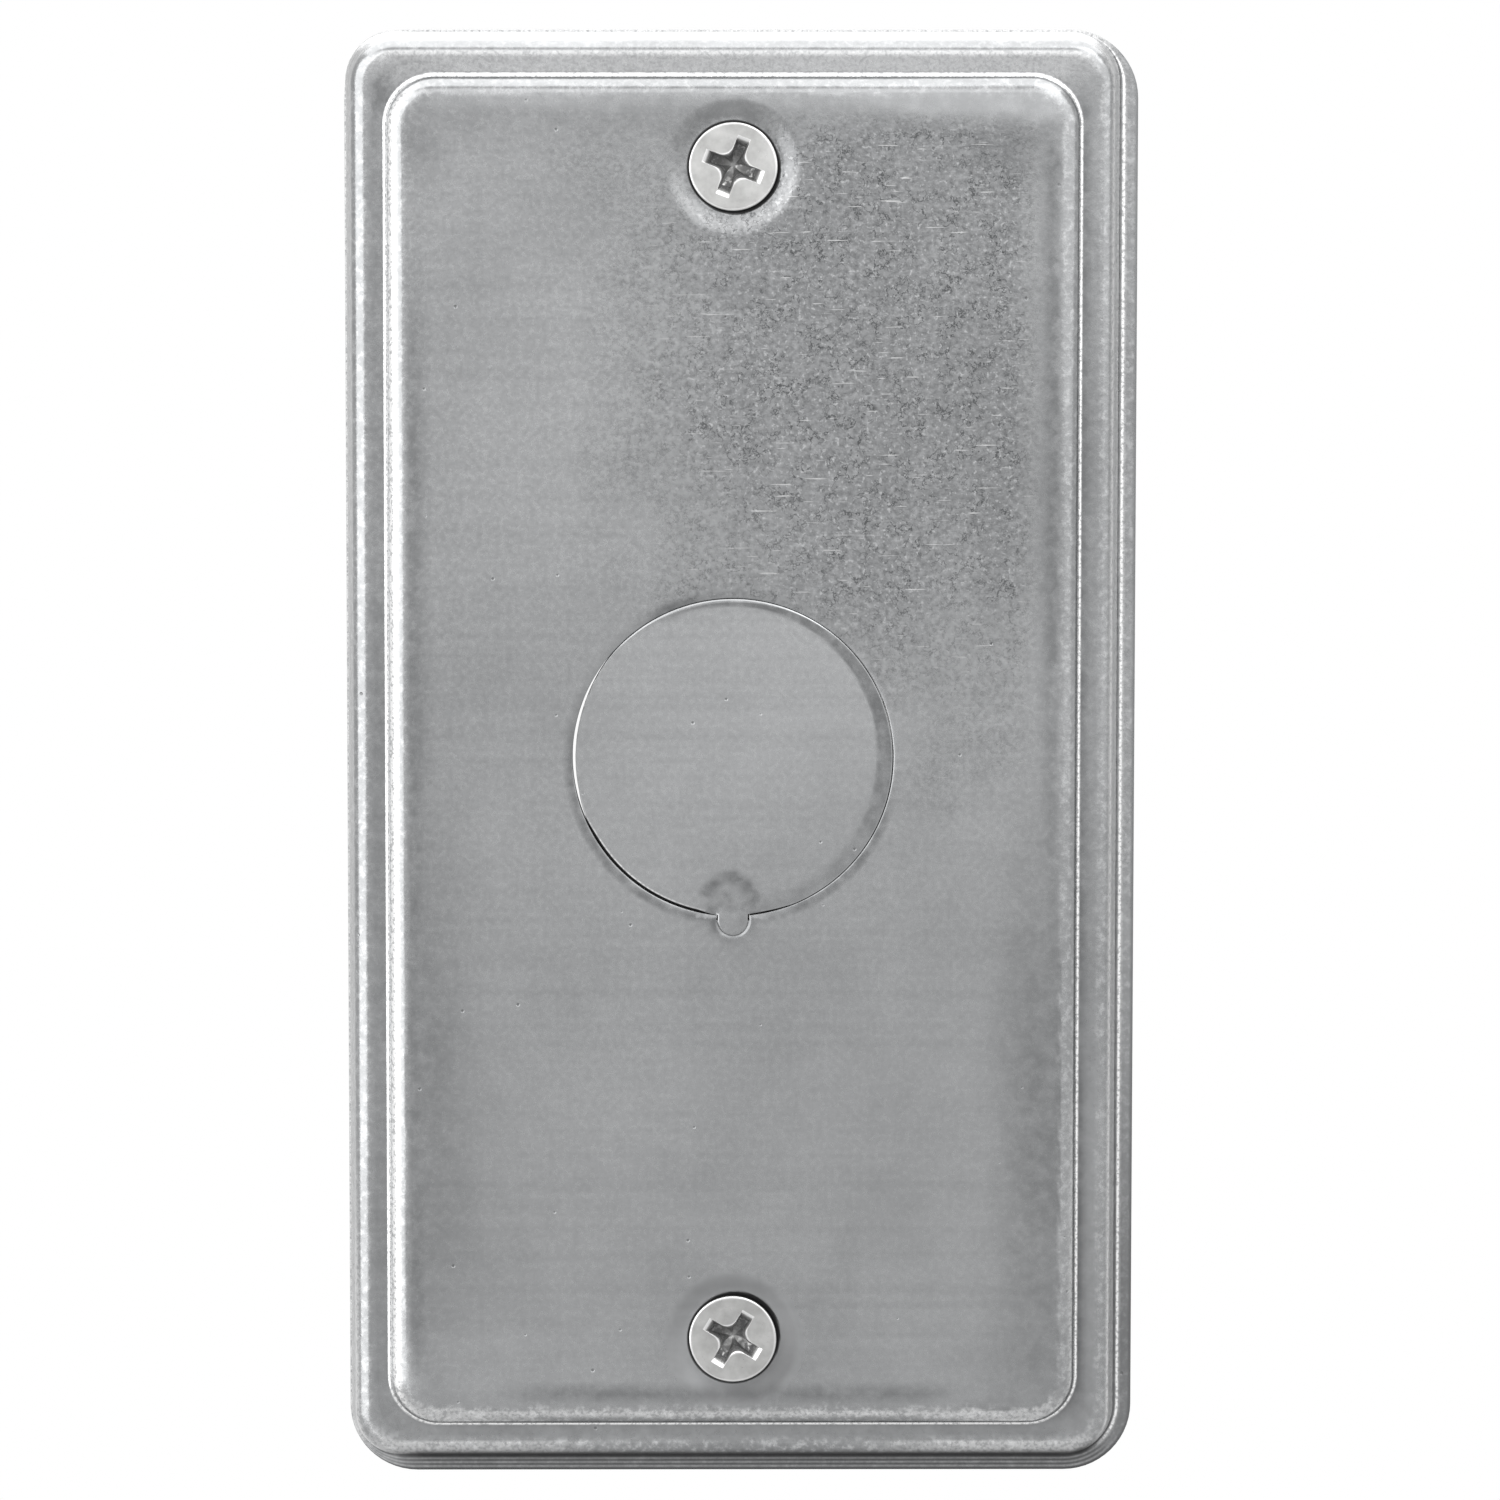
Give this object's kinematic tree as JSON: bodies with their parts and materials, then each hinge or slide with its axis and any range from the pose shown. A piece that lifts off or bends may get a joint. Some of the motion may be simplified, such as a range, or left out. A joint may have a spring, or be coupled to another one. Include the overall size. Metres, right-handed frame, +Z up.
{
  "type": "raised utility box cover with knockout",
  "caption": "Raised pressed-steel cover that closes a small electrical box, with a round knockout and flat-head fixing screws.",
  "frame": {"origin": "midway between the screws, in the plane of the rim that meets the box", "axes": "+X to the right and +Z up as the fixed cover is seen, its long side upright; the face looks towards -Y and the screws point along +Y, into the box"},
  "size_m": [0.0559, 0.0128, 0.103],
  "materials": {
    "galvanised_sheet": "hot-dip galvanised, smooth and dull, brighter on the bends",
    "zinc_plated_screw": "zinc plated, satin"
  },
  "bodies": {
    "root": {"cover": "galvanised_sheet", "upper_screw": "zinc_plated_screw", "lower_screw": "zinc_plated_screw"}
  },
  "joints": []
}
